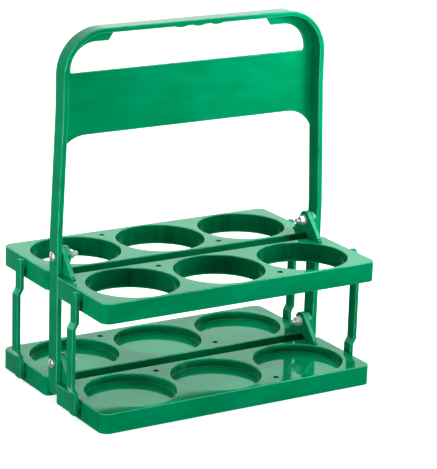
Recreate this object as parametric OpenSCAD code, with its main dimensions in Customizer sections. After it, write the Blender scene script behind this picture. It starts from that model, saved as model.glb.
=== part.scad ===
// Folding carrier for six bottles, moulded in green plastic.
// X runs along the carrier, Y from front to back, Z up. The origin is on the floor at the
// middle of the footprint. Two upper and two lower trays hinge on the handle's legs and fold
// up against them, and four posts couple each upper tray to the lower tray under it.

/* [Trays] */
// Distance from the bottle holes to the trays' long edges
side_margin = 3.5; // [3:0.1:8]
// Distance from the bottle holes to the trays' ends
end_margin = 11.7; // [11:0.1:20]
// Height of each tray's skirt
tray_height = 20; // [18:1:26]
// Gap between the front and the back trays, which the handle's legs stand in
tray_gap = 18; // [16:1:24]
// Height from a lower tray to the upper tray over it
tier_spacing = 108.5; // [104:0.5:130]
// Thickness of the trays' skirts
skirt_wall = 2.4; // [1.8:0.1:3]
// Thickness of the trays' tops
plate_thickness = 2.4; // [1.8:0.1:2.6]
// Radius of a tray's corners on its outer side
outer_corner_r = 9; // [6:0.5:14]
// Radius of a tray's corners beside the handle
inner_corner_r = 5; // [3:0.5:8]

/* [Bottle places] */
// Diameter of the bottle holes and cups
hole_d = 90; // [82:0.5:100]
// Gap between neighbouring holes
hole_gap = 6.3; // [5:0.1:8]
// Bottle places in each tray
hole_count = 3; // [3:2:3]
// Wall of the sleeve round each bottle place
sleeve_wall = 2.2; // [1.6:0.1:2.8]
// Thickness of the floors of the lower trays' cups
cup_floor = 2.2; // [1.6:0.1:3]
// Height of the cup floors' undersides above the lower edge of the skirt
cup_lift = 9.3; // [0.4:0.1:12]
// Diameter of the small drain holes between the bottle places
drain_d = 5.5; // [3:0.5:7]
// Distance of the drain holes from the tray's long centre line
drain_offset = 34.5; // [32:0.5:36]

/* [Pivots] */
// Height of the fold's pivots above the tray tops
pivot_rise = 17; // [14:0.5:22]
// Thickness of the trays' ears
ear_thickness = 4.5; // [3:0.1:5]
// Radius of the ears' round heads
ear_head_r = 9; // [7:0.5:10]
// Length of an ear's foot along the tray
ear_reach = 19; // [15:0.5:26]
// Distance of an ear from the tray's edge beside the handle
heel_margin = 0.5; // [0.2:0.1:1.5]
// Height of the step at the end of an ear's foot
ear_step = 1.4; // [0.8:0.1:2]
// Height of the notch over that step
ear_notch = 3; // [2.4:0.1:4]

/* [Handle] */
// Height of the handle's top above the floor
handle_height = 365; // [340:1:400]
// Height of the lower ends of the legs above the floor
leg_end = 5.5; // [3:0.5:9]
// Distance of the legs' outer faces from the trays' ends
leg_inset = 1.7; // [1:0.1:3]
// Distance by which each leg leans in above the upper pivot
leg_lean = 5; // [0:0.5:10]
// Height from the upper pivot to where the legs start to lean in
lean_start = 19.5; // [12:0.5:30]
// Height over which the legs lean in
lean_run = 125; // [100:1:130]
// Thickness of the legs
leg_thickness = 5.5; // [4:0.1:6]
// Thickness of the grip bar
bar_thickness = 4.8; // [4:0.1:6]
// Outer radius of the handle's upper corners
handle_corner_r = 44; // [36:1:50]
// Thickness of the panel and of the webs in the upper corners
panel_thickness = 2.8; // [2:0.1:4]
// Height of the panel
panel_height = 61; // [40:1:70]
// Height from the panel's top edge to the handle's top
panel_depth = 44; // [40:1:60]
// Height by which the panel's lower corners run down the legs
panel_drop = 17; // [8:1:20]
// Radius of the panel's lower corners
panel_arc_r = 32; // [22:1:40]

/* [Hand opening] */
// Width of the corner webs beside the hand opening
web_width = 9.3; // [5:0.1:12]
// Height of the corner webs under the grip bar
web_height = 10.5; // [6:0.1:14]
// Radius of the hand opening's upper corners
opening_corner_r = 26; // [15:1:28]
// Length of the bare grip between the webs, along its underside
grip_length = 168; // [120:1:180]
// Distance by which the webs' ends slant outwards
web_slant = 7; // [3:0.5:10]
// Distance between the finger crests under the grip
crest_pitch = 20; // [18:0.5:22]
// Number of finger crests
crest_count = 3; // [1:1:5]
// Width of a finger crest
crest_width = 14; // [8:0.5:16]
// Height of a finger crest
crest_height = 1.3; // [0.6:0.1:2]

/* [Posts] */
// Width of the posts
post_width = 11.5; // [10.5:0.5:14]
// Thickness of the posts
post_thickness = 4; // [3:0.1:5]
// Distance of the posts' ends from the trays' ends
post_stand = 3; // [2:0.1:5]
// Distance by which the posts' middles stand further out
post_joggle = 3.5; // [2:0.1:5]
// Height of a joggle's slope
joggle_run = 6; // [4:0.5:9]
// Height from the upper pin down to the upper joggle
upper_joggle = 24; // [15:0.5:30]
// Height from the lower pin up to the lower joggle
lower_joggle = 13.5; // [10:0.5:20]
// Height of the posts' lower ends above the floor
post_end = 4.5; // [2:0.5:6]
// Radius of the corners at the posts' lower ends
post_end_r = 3; // [1:0.5:4.5]
// Depth of the pins' axes under the tray tops
pin_drop = 6.5; // [6.5:0.1:8]
// Diameter of the pins at the posts' ends
pin_d = 6; // [5:0.1:6.4]
// Diameter of the shoulders that hold the posts off the trays
shoulder_d = 10.5; // [9:0.5:11.5]
// Length of the bosses behind the trays' end walls
boss_length = 2.6; // [1.5:0.1:4]
// Wall of these bosses
boss_wall = 2; // [1.5:0.1:2.2]
// Thickness of the snap lip at the end of a pin
lip_thickness = 1.2; // [0.8:0.1:1.6]
// Distance by which the snap lip stands out from the pin
lip_proud = 0.6; // [0.4:0.1:0.6]

/* [Fasteners] */
// Diameter of the pivot screws
screw_d = 5; // [4:0.5:6]
// Length of the pivot screws under the head
screw_length = 25; // [24:1:28]
// Diameter of the screw heads
head_d = 9.6; // [8:0.1:11]
// Height of the screw heads
head_height = 3.7; // [2.5:0.1:4.5]
// Height of a screw head's rounded rim
head_rim = 2.4; // [1.5:0.1:2.8]
// Width of the cross slots
slot_width = 1.2; // [0.8:0.1:1.6]
// Length of the cross slots
slot_length = 5.4; // [4:0.1:7]
// Depth of the cross slots
slot_depth = 1.8; // [1:0.1:2.2]
// Diameter of the round recesses for the heads in the legs
recess_d = 12.2; // [11.5:0.1:14]
// Depth of these recesses
recess_depth = 0.8; // [0.4:0.1:2]
// Width of the nuts across their flats
nut_width = 8; // [7.5:0.1:10]
// Height of the nuts
nut_height = 4.7; // [3.5:0.1:5]
// Diameter of the washers
washer_d = 10; // [9:0.5:12]
// Thickness of the washers
washer_thickness = 1; // [0.8:0.1:1.6]

/* [Fits] */
// Gap beside a face that moves past another
side_gap = 0.3; // [0.2:0.05:0.4]
// Radial clearance of a screw or pin in its bore
bore_clearance = 0.08; // [0.04:0.01:0.1]
// Radial clearance of a post's lower pin, where the linkage closes
closing_clearance = 0.25; // [0.2:0.01:0.4]
// Radial clearance of a nut's bore over the screw
thread_clearance = 0.02; // [0.02:0.01:0.05]
// Radial clearance of a washer over the screw
washer_clearance = 0.15; // [0.1:0.05:0.3]

/* [Hidden] */
$fn = 96;

green = [0.0, 0.55, 0.36];
steel = [0.78, 0.79, 0.8];
overlap = 1; // how far a cut runs past a face, or a joined form into its neighbour
head_sink = 0.05; // how far the sides of an ear run inside its round head

// The bottle places and the trays' outlines
hole_pitch = hole_d + hole_gap;
tray_end = (hole_count - 1) / 2 * hole_pitch + hole_d / 2 + end_margin;
tray_width = hole_d + 2 * side_margin;

// Places along X
leg_outer = tray_end - leg_inset;
leg_inner = leg_outer - leg_thickness;
outer_ear_x = leg_inner - side_gap;
inner_ear_x = outer_ear_x - ear_thickness - side_gap;
washer_x = inner_ear_x - ear_thickness - side_gap;
nut_x = washer_x - washer_thickness;
head_seat_x = leg_outer - recess_depth;
post_inner = tray_end + post_stand;
boss_end = tray_end - skirt_wall - boss_length;
hole_r = hole_d / 2;
sleeve_r = hole_r + sleeve_wall;
hole_places = [for (i = [0 : hole_count - 1]) (i - (hole_count - 1) / 2) * hole_pitch];

// Places along Y, for the front half
edge_y = tray_gap / 2;
tray_mid_y = edge_y + tray_width / 2;
frame_half = edge_y - side_gap;
toe_y = edge_y + ear_reach;

// Heights
upper_tray_z = tier_spacing;
lower_pivot_z = tray_height + pivot_rise;
upper_pivot_z = lower_pivot_z + tier_spacing;
lower_pin_z = tray_height - pin_drop;
upper_pin_z = lower_pin_z + tier_spacing;
lean_start_z = upper_pivot_z + lean_start;
lean_end_z = lean_start_z + lean_run;
bar_z = handle_height - bar_thickness;
panel_top_z = handle_height - panel_depth;
panel_bottom_z = panel_top_z - panel_height;

// Extrudes an outline drawn in X and Z from y0 to y1
module along_y(y0, y1) {
    translate([0, y1, 0]) rotate([90, 0, 0]) linear_extrude(y1 - y0) children();
}

// Extrudes an outline drawn in Y and Z from x0 to x1
module along_x(x0, x1) {
    translate([x0, 0, 0]) rotate([90, 0, 90]) linear_extrude(x1 - x0) children();
}

// A round bar along X, from x0 to x1 at y, z
module rod_x(x0, x1, d, y = 0, z = 0) {
    translate([x0, y, z]) rotate([0, 90, 0]) cylinder(h = x1 - x0, d = d);
}

// Turns a form of the front half to the back half
module to_back() {
    rotate([0, 0, 180]) children();
}

// Mirrors a form of the right side to the left side
module to_left() {
    mirror([1, 0, 0]) children();
}

// Trays

// Outline of the front tray, drawn in X and Y and set in by a margin
module tray_outline(inset = 0) {
    x = tray_end - inset;
    y_in = -(edge_y + inset);
    y_out = -(edge_y + tray_width - inset);
    r_in = max(inner_corner_r - inset, 0.5);
    r_out = max(outer_corner_r - inset, 0.5);
    polygon([
        [-x + r_out, y_out], [x - r_out, y_out], [x, y_out + r_out], [x, y_in - r_in],
        [x - r_in, y_in], [-x + r_in, y_in], [-x, y_in - r_in], [-x, y_out + r_out]
    ]);
    for (side = [-1, 1]) {
        translate([side * (x - r_out), y_out + r_out]) circle(r = r_out);
        translate([side * (x - r_in), y_in - r_in]) circle(r = r_in);
    }
}

// Places its children at each bottle place of the front tray
module at_bottles() {
    for (x = hole_places) translate([x, -tray_mid_y, 0]) children();
}

// Point where the tangent from point p, on one side, touches a circle just inside the ear's
// round head, so that the ear's side runs into the head instead of only touching it
function head_tangent(p, side) =
    let (
        r = ear_head_r - head_sink,
        distance = norm(p),
        direction = atan2(-p[1], -p[0]) + side * asin(r / distance),
        reach = sqrt(distance * distance - r * r)
    )
    p + reach * [cos(direction), sin(direction)];

// Outline of a front tray's ear, drawn in Y and Z from the pivot
module ear_outline() {
    toe = [-toe_y, -pivot_rise];
    heel = [-edge_y - heel_margin, -pivot_rise];
    slope_top = head_tangent(toe, 1);
    slope = (slope_top[1] - toe[1]) / (slope_top[0] - toe[0]);
    notch_y = toe[0] + ear_notch / slope;
    polygon([
        [toe[0], toe[1] - overlap],
        [toe[0], toe[1] + ear_step],
        [notch_y, toe[1] + ear_step],
        [notch_y, toe[1] + ear_notch],
        slope_top,
        head_tangent(heel, -1),
        heel,
        [heel[0] - overlap, heel[1] - overlap]
    ]);
    circle(r = ear_head_r);
}

// One ear with its bore, whose outer face is at x
module ear(x, pivot_z) {
    translate([0, 0, pivot_z]) difference() {
        along_x(x - ear_thickness, x) ear_outline();
        rod_x(x - ear_thickness - overlap, x + overlap, screw_d + 2 * bore_clearance);
    }
}

// The spaces under a front tray's top, round the sleeves and the pins' bosses
module pockets(boss_d) {
    pin_z = tray_height - pin_drop;
    difference() {
        translate([0, 0, -overlap])
            linear_extrude(tray_height - plate_thickness + overlap) tray_outline(skirt_wall);
        at_bottles() translate([0, 0, -2 * overlap])
            cylinder(h = tray_height + 2 * overlap, r = sleeve_r);
        rod_x(boss_end, tray_end, boss_d, -tray_mid_y, pin_z);
        rod_x(-tray_end, -boss_end, boss_d, -tray_mid_y, pin_z);
    }
}

// A front tray with its ears. The left ear lies beside the leg, the right one beside the
// back tray's ear.
module front_tray(z, pin_bore_d, cups = false) {
    pin_z = tray_height - pin_drop;
    translate([0, 0, z]) difference() {
        linear_extrude(tray_height) tray_outline();
        pockets(pin_bore_d + 2 * boss_wall);
        at_bottles() translate([0, 0, cups ? cup_lift + cup_floor : -overlap])
            cylinder(h = tray_height + 2 * overlap, r = hole_r);
        if (cups) at_bottles() translate([0, 0, -overlap])
            cylinder(h = overlap + cup_lift, r = hole_r);
        for (side = [-1, 1])
            translate([side * hole_pitch / 2, -tray_mid_y - side * drain_offset, 0])
                translate([0, 0, tray_height - plate_thickness - overlap])
                    cylinder(h = plate_thickness + 2 * overlap, d = drain_d);
        rod_x(-tray_end - overlap, -boss_end + overlap, pin_bore_d, -tray_mid_y, pin_z);
        rod_x(boss_end - overlap, tray_end + overlap, pin_bore_d, -tray_mid_y, pin_z);
    }
    pivot_z = z + tray_height + pivot_rise;
    to_left() ear(outer_ear_x, pivot_z);
    ear(inner_ear_x, pivot_z);
}

module upper_tray() {
    color(green) front_tray(upper_tray_z, pin_d + 2 * bore_clearance);
}

module lower_tray() {
    color(green) front_tray(0, pin_d + 2 * closing_clearance, cups = true);
}

module front_upper_tray() {
    upper_tray();
}

module front_lower_tray() {
    lower_tray();
}

module back_upper_tray() {
    to_back() upper_tray();
}

module back_lower_tray() {
    to_back() lower_tray();
}

// Handle

// Outline of the handle, drawn in X and Z from height z, set in at its sides and its top
module handle_outline(z, side = 0, top = 0) {
    low = leg_outer - side;
    high = low - leg_lean;
    top_z = handle_height - top;
    r = handle_corner_r - max(side, top);
    polygon([
        [-low, z], [low, z], [low, lean_start_z], [high, lean_end_z], [high, top_z - r],
        [high - r, top_z], [r - high, top_z], [-high, top_z - r], [-high, lean_end_z],
        [-low, lean_start_z]
    ]);
    for (x = [high - r, r - high]) translate([x, top_z - r]) circle(r = r);
}

// Inside of the handle's loop, from height z
module handle_inside(z) {
    handle_outline(z, leg_thickness, bar_thickness);
}

// Outline of the panel with its hollow lower corners, drawn in X and Z
module panel_outline() {
    drop_z = panel_bottom_z - panel_drop;
    lean_share = (drop_z - lean_start_z) / lean_run;
    corner_x = leg_inner - leg_lean * min(max(lean_share, 0), 1);
    arc_x = corner_x - sqrt(panel_drop * (2 * panel_arc_r - panel_drop));
    difference() {
        translate([-leg_outer, drop_z]) square([2 * leg_outer, panel_height + panel_drop]);
        translate([-arc_x, drop_z - overlap]) square([2 * arc_x, panel_drop + overlap]);
        for (x = [-arc_x, arc_x]) translate([x, panel_bottom_z - panel_arc_r])
            circle(r = panel_arc_r);
    }
}

// Outline of the webs in the handle's upper corners, drawn in X and Z
module web_outline() {
    half = leg_inner - leg_lean - web_width;
    top_z = bar_z - web_height;
    r = opening_corner_r;
    grip_half = grip_length / 2;
    difference() {
        translate([-leg_outer, panel_top_z - overlap])
            square([2 * leg_outer, panel_depth + overlap]);
        translate([-half, panel_top_z]) square([2 * half, top_z - r - panel_top_z]);
        translate([r - half, panel_top_z]) square([2 * (half - r), top_z - panel_top_z]);
        for (x = [r - half, half - r]) translate([x, top_z - r]) circle(r = r);
        polygon([
            [-grip_half - web_slant, top_z - overlap], [grip_half + web_slant, top_z - overlap],
            [grip_half + web_slant, top_z], [grip_half, bar_z], [grip_half, handle_height],
            [-grip_half, handle_height], [-grip_half, bar_z], [-grip_half - web_slant, top_z]
        ]);
    }
}

// Outline of the finger crests under the grip, drawn in X and Z
module crest_outline() {
    half = crest_width / 2;
    r = (half * half + crest_height * crest_height) / (2 * crest_height);
    for (i = [0 : crest_count - 1]) intersection() {
        x = (i - (crest_count - 1) / 2) * crest_pitch;
        translate([x, bar_z - crest_height + r]) circle(r = r);
        translate([x - half, bar_z - crest_height])
            square([crest_width, crest_height + overlap]);
    }
}

// What is cut away to round the lower end of the legs
module leg_end_cut() {
    end_z = leg_end + frame_half;
    difference() {
        translate([-leg_outer - overlap, -frame_half - overlap, leg_end - overlap])
            cube([2 * (leg_outer + overlap), 2 * (frame_half + overlap), frame_half + overlap]);
        rod_x(-leg_outer - 2 * overlap, leg_outer + 2 * overlap, 2 * frame_half, 0, end_z);
    }
}

module handle_frame() {
    color(green) difference() {
        union() {
            along_y(-frame_half, frame_half) difference() {
                handle_outline(leg_end);
                handle_inside(leg_end - overlap);
            }
            along_y(frame_half - panel_thickness, frame_half) intersection() {
                handle_outline(leg_end);
                union() {
                    panel_outline();
                    web_outline();
                }
            }
            along_y(-frame_half + crest_height, frame_half - crest_height) crest_outline();
        }
        leg_end_cut();
        for (z = [lower_pivot_z, upper_pivot_z], turn = [0, 180])
            rotate([0, 0, turn]) {
                rod_x(leg_inner - overlap, leg_outer + overlap, screw_d + 2 * bore_clearance, 0, z);
                rod_x(head_seat_x, leg_outer + overlap, recess_d, 0, z);
            }
    }
}

// Posts

// Outline of a right post seen from the front, drawn in X and Z
module post_side() {
    x0 = post_inner;
    x1 = post_inner + post_joggle;
    t = post_thickness;
    low = lower_pin_z + lower_joggle;
    high = upper_pin_z - upper_joggle;
    top = upper_pin_z + post_width;
    polygon([
        [x0, post_end], [x0, low], [x1, low + joggle_run], [x1, high - joggle_run],
        [x0, high], [x0, top], [x0 + t, top], [x0 + t, high], [x1 + t, high - joggle_run],
        [x1 + t, low + joggle_run], [x0 + t, low], [x0 + t, post_end]
    ]);
}

// Outline of a post seen from the side, drawn in Y and Z
module post_face() {
    half = post_width / 2;
    translate([0, upper_pin_z]) circle(r = half);
    translate([-half, post_end + post_end_r])
        square([post_width, upper_pin_z - post_end - post_end_r]);
    translate([post_end_r - half, post_end]) square([post_width - 2 * post_end_r, half]);
    for (y = [post_end_r - half, half - post_end_r]) translate([y, post_end + post_end_r])
        circle(r = post_end_r);
}

// A post at the right end of the front trays, with its shoulders, pins and snap lips
module post() {
    lip_x = boss_end - side_gap;
    color(green) translate([0, -tray_mid_y, 0]) {
        intersection() {
            along_y(-post_width, post_width) post_side();
            along_x(post_inner - overlap, post_inner + post_joggle + 2 * post_thickness)
                post_face();
        }
        for (z = [lower_pin_z, upper_pin_z]) {
            rod_x(tray_end + side_gap, post_inner + post_thickness / 2, shoulder_d, 0, z);
            rod_x(lip_x - lip_thickness, post_inner, pin_d, 0, z);
            rod_x(lip_x - lip_thickness, lip_x, pin_d + 2 * lip_proud, 0, z);
        }
    }
}

module front_right_post() {
    post();
}

module front_left_post() {
    to_left() post();
}

module back_left_post() {
    to_back() post();
}

module back_right_post() {
    to_back() to_left() post();
}

// Fasteners, drawn on the X axis at the right side

module screw() {
    half = head_d / 2;
    dome = head_height - head_rim;
    dome_r = (half * half + dome * dome) / (2 * dome);
    color(steel) translate([head_seat_x, 0, 0]) rotate([0, 90, 0]) difference() {
        union() {
            translate([0, 0, -screw_length]) cylinder(h = screw_length + overlap, d = screw_d);
            rotate_extrude() intersection() {
                square([half, head_height]);
                translate([0, head_height - dome_r]) circle(r = dome_r);
            }
        }
        for (turn = [0, 90]) rotate([0, 0, turn])
            translate([-slot_length / 2, -slot_width / 2, head_height - slot_depth])
                cube([slot_length, slot_width, slot_depth + overlap]);
    }
}

module washer() {
    color(steel) difference() {
        rod_x(nut_x, washer_x, washer_d);
        rod_x(nut_x - overlap, washer_x + overlap, screw_d + 2 * washer_clearance);
    }
}

// A hexagon nut whose outer corners are turned round
module nut() {
    corner_r = nut_width / 2 / cos(30);
    turned_r = nut_width / 2 + nut_height / 2;
    color(steel) difference() {
        intersection() {
            translate([nut_x - nut_height, 0, 0]) rotate([0, 90, 0])
                cylinder(h = nut_height, r = corner_r, $fn = 6);
            translate([nut_x - nut_height, 0, 0]) rotate([0, 90, 0])
                cylinder(h = nut_height, r1 = nut_width / 2, r2 = turned_r + nut_height / 2);
            translate([nut_x - nut_height, 0, 0]) rotate([0, 90, 0])
                cylinder(h = nut_height, r1 = turned_r + nut_height / 2, r2 = nut_width / 2);
        }
        rod_x(nut_x - nut_height - overlap, nut_x + overlap, screw_d + 2 * thread_clearance);
    }
}

module upper_left_screw() {
    translate([0, 0, upper_pivot_z]) to_left() screw();
}

module upper_right_screw() {
    translate([0, 0, upper_pivot_z]) screw();
}

module lower_left_screw() {
    translate([0, 0, lower_pivot_z]) to_left() screw();
}

module lower_right_screw() {
    translate([0, 0, lower_pivot_z]) screw();
}

module upper_left_washer() {
    translate([0, 0, upper_pivot_z]) to_left() washer();
}

module upper_right_washer() {
    translate([0, 0, upper_pivot_z]) washer();
}

module lower_left_washer() {
    translate([0, 0, lower_pivot_z]) to_left() washer();
}

module lower_right_washer() {
    translate([0, 0, lower_pivot_z]) washer();
}

module upper_left_nut() {
    translate([0, 0, upper_pivot_z]) to_left() nut();
}

module upper_right_nut() {
    translate([0, 0, upper_pivot_z]) nut();
}

module lower_left_nut() {
    translate([0, 0, lower_pivot_z]) to_left() nut();
}

module lower_right_nut() {
    translate([0, 0, lower_pivot_z]) nut();
}

handle_frame();
front_upper_tray();
front_lower_tray();
back_upper_tray();
back_lower_tray();
front_left_post();
front_right_post();
back_left_post();
back_right_post();
upper_left_screw();
upper_right_screw();
lower_left_screw();
lower_right_screw();
upper_left_washer();
upper_right_washer();
lower_left_washer();
lower_right_washer();
upper_left_nut();
upper_right_nut();
lower_left_nut();
lower_right_nut();
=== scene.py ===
"""Looks of the folding bottle carrier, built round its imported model.

Sizes are in millimetres in the carrier's own frame: X along it, Y from front to back, Z up.
They become metres when a mesh is handed to Blender.
"""
import logging
import math
from collections.abc import Callable, Mapping, Sequence
from dataclasses import dataclass
from enum import Enum
from typing import Any

import bpy
import numpy as np
from mathutils import Matrix, Vector
from mathutils.geometry import delaunay_2d_cdt


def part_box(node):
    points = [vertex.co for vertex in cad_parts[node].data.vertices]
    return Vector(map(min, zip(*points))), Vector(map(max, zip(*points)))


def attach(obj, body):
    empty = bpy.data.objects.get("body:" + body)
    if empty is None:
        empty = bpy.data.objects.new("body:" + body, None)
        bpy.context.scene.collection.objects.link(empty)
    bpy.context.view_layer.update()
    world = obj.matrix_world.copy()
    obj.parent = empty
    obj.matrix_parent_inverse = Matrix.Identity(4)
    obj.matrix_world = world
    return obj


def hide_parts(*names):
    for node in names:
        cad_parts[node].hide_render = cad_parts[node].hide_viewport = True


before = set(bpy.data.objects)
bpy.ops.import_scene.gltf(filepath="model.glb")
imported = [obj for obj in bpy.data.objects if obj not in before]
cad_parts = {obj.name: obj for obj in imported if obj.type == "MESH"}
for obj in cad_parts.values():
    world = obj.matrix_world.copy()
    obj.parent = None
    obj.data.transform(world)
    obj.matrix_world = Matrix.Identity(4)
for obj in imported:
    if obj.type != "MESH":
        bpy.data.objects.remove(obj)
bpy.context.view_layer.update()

log = logging.getLogger("carrier")
Array = np.ndarray
MM = 0.001
PHOTO_LONG_SIDE = 469
SENSOR_MM = 36.0
SHARP_ANGLE = math.radians(38)


class Plane(Enum):
    """The plane that an outline is drawn in; the columns are its two axes and its height axis."""

    XY = ((1, 0, 0), (0, 1, 0), (0, 0, 1))
    XZ = ((1, 0, 0), (0, 0, -1), (0, 1, 0))
    YZ = ((0, 0, 1), (1, 0, 0), (0, 1, 0))

    def place(self, u: Array, v: Array, w: Array) -> Array:
        """Turns plane coordinates and heights into points of the carrier's frame.

        Args:
            u: First coordinates in the plane.
            v: Second coordinates in the plane.
            w: Heights over the plane.

        Returns:
            Points whose last axis is X, Y, Z.
        """
        local = np.stack(np.broadcast_arrays(u, v, w), axis=-1)
        return local @ np.array(self.value, float).T


class Half(Enum):
    """The two halves of the carrier; the back one is the front one turned half round."""

    FRONT = 1
    BACK = -1

    @property
    def label(self) -> str:
        """The half's word in the names of the pieces."""
        return self.name.lower()


class Side(Enum):
    """The two ends of the carrier."""

    LEFT = -1
    RIGHT = 1

    @property
    def label(self) -> str:
        """The end's word in the names of the pieces."""
        return self.name.lower()


@dataclass(frozen=True)
class Corner:
    """A corner of an outline, rounded by a fillet that touches both of its sides."""

    u: float
    v: float
    radius: float = 0.5


@dataclass(frozen=True)
class Arc:
    """A part of a circle in an outline, drawn from start to end in degrees."""

    u: float
    v: float
    radius: float
    start: float
    end: float

    def point(self, angle: float) -> Array:
        """The arc's point at an angle in degrees."""
        turn = math.radians(angle)
        return np.array([self.u + self.radius * math.cos(turn), self.v + self.radius * math.sin(turn)])


@dataclass(frozen=True)
class Outline:
    """A closed line of points, with the unit normals that point out of the material."""

    points: Array
    normals: Array

    @classmethod
    def circle(cls, u: float, v: float, radius: float, count: int = 96) -> "Outline":
        """Draws a full circle: c + r (cos t, sin t), whose normals are (cos t, sin t).

        Args:
            u: First coordinate of the centre.
            v: Second coordinate of the centre.
            radius: Radius of the circle.
            count: Number of points.

        Returns:
            The outline of a disc.
        """
        turn = np.arange(count) * (2 * np.pi / count)
        normals = np.stack([np.cos(turn), np.sin(turn)], axis=-1)
        return cls(np.array([u, v]) + radius * normals, normals)

    @classmethod
    def along(cls, parts: Sequence[Corner | Arc], step: float = 6.0) -> "Outline":
        """Draws a closed outline counter-clockwise round the material.

        Where two sides with the directions a and b meet, the line turns by
        d = atan2(a x b, a . b). The fillet leaves the first side r tan(|d| / 2) before the
        corner, and its points are c + sign(d) r n(t), where n turns from the right-hand normal
        of a to that of b. An arc is c + r (cos t, sin t); its normals point away from c where it
        runs counter-clockwise and to c where it runs clockwise.

        Args:
            parts: Corners and arcs in their order; straight lines join them.
            step: Largest turn between two points, in degrees.

        Returns:
            The outline.
        """
        points, normals = [], []
        for i, part in enumerate(parts):
            before, after = parts[i - 1], parts[(i + 1) % len(parts)]
            if isinstance(part, Arc):
                count = max(2, math.ceil(abs(part.end - part.start) / step)) + 1
                turn = np.radians(np.linspace(part.start, part.end, count))
                ray = np.stack([np.cos(turn), np.sin(turn)], axis=-1)
                points.append(np.array([part.u, part.v]) + part.radius * ray)
                normals.append(ray * np.sign(part.end - part.start))
                continue
            here = np.array([part.u, part.v])
            back = before.point(before.end) if isinstance(before, Arc) else np.array([before.u, before.v])
            on = after.point(after.start) if isinstance(after, Arc) else np.array([after.u, after.v])
            a = (here - back) / np.linalg.norm(here - back)
            b = (on - here) / np.linalg.norm(on - here)
            bend = math.atan2(a[0] * b[1] - a[1] * b[0], float(a @ b))
            count = max(2, math.ceil(abs(math.degrees(bend)) / step)) + 1
            first = math.atan2(-a[0], a[1])
            turn = first + np.linspace(0, bend, count)
            ray = np.stack([np.cos(turn), np.sin(turn)], axis=-1)
            reach = part.radius * math.tan(abs(bend) / 2)
            bulge = math.copysign(part.radius, bend)
            centre = here - reach * a - bulge * ray[0]
            points.append(centre + bulge * ray)
            normals.append(ray)
        return cls(np.concatenate(points), np.concatenate(normals))

    def hole(self) -> "Outline":
        """The same line as the edge of a hole, whose normals point into the hole."""
        return Outline(self.points[::-1], -self.normals[::-1])

    def at(self, offset: float | Array) -> Array:
        """The line moved out of the material by an offset: p + o n."""
        return self.points + offset * self.normals


def bend(level: float, radius: float, rising: bool, steps: int = 5) -> Array:
    """Works out a quarter round between a level face and the wall that stands on it or under it.

    With r = |radius| and t from 0 to 90 degrees, a rising one is (-radius (1 - sin t),
    level + r (1 - cos t)) and a falling one (-radius (1 - cos t), level - r (1 - sin t)).

    Args:
        level: Height of the level face.
        radius: Radius, above 0 on an outer edge and below 0 in an inner corner.
        rising: True where the wall stands on the level face.
        steps: Number of facets.

    Returns:
        Rows of offset and height, from low to high.
    """
    turn = np.linspace(0, np.pi / 2, steps + 1)
    r = abs(radius)
    if rising:
        return np.stack([-radius * (1 - np.sin(turn)), level + r * (1 - np.cos(turn))], axis=-1)
    return np.stack([-radius * (1 - np.cos(turn)), level - r * (1 - np.sin(turn))], axis=-1)


def wall(low: float, high: float, low_edge: float, high_edge: float, hold: float = 0.25) -> Array:
    """Works out the profile of a wall between two level faces, with a rounding at each.

    Narrow level and upright strips beside the roundings hold the large faces flat.

    Args:
        low: Height of the lower face.
        high: Height of the upper face.
        low_edge: Radius at the lower face, below 0 in an inner corner.
        high_edge: Radius at the upper face, below 0 in an inner corner.
        hold: Width of the strips.

    Returns:
        Rows of offset and height, from low to high.
    """
    rows = [np.array([[-low_edge - math.copysign(hold, low_edge), low]]), bend(low, low_edge, True)]
    if high - low - abs(low_edge) - abs(high_edge) > 3 * hold:
        rows.append(np.array([[0, low + abs(low_edge) + hold], [0, high - abs(high_edge) - hold]]))
    rows += [bend(high, high_edge, False), np.array([[-high_edge - math.copysign(hold, high_edge), high]])]
    return np.concatenate(rows)


def inside(points: Array, loop: Array) -> Array:
    """Tells which points lie in a closed loop, by the even number of crossings outside it.

    Args:
        points: Points of the plane.
        loop: Corners of the loop.

    Returns:
        One truth value for each point.
    """
    a, b = loop, np.roll(loop, -1, axis=0)
    x, y = points[:, :1], points[:, 1:]
    spans = (a[:, 1] > y) != (b[:, 1] > y)
    rise = np.where(b[:, 1] == a[:, 1], 1.0, b[:, 1] - a[:, 1])
    crossing = a[:, 0] + (y - a[:, 1]) * (b[:, 0] - a[:, 0]) / rise
    return (np.sum(spans & (x < crossing), axis=1) % 2) == 1


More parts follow.
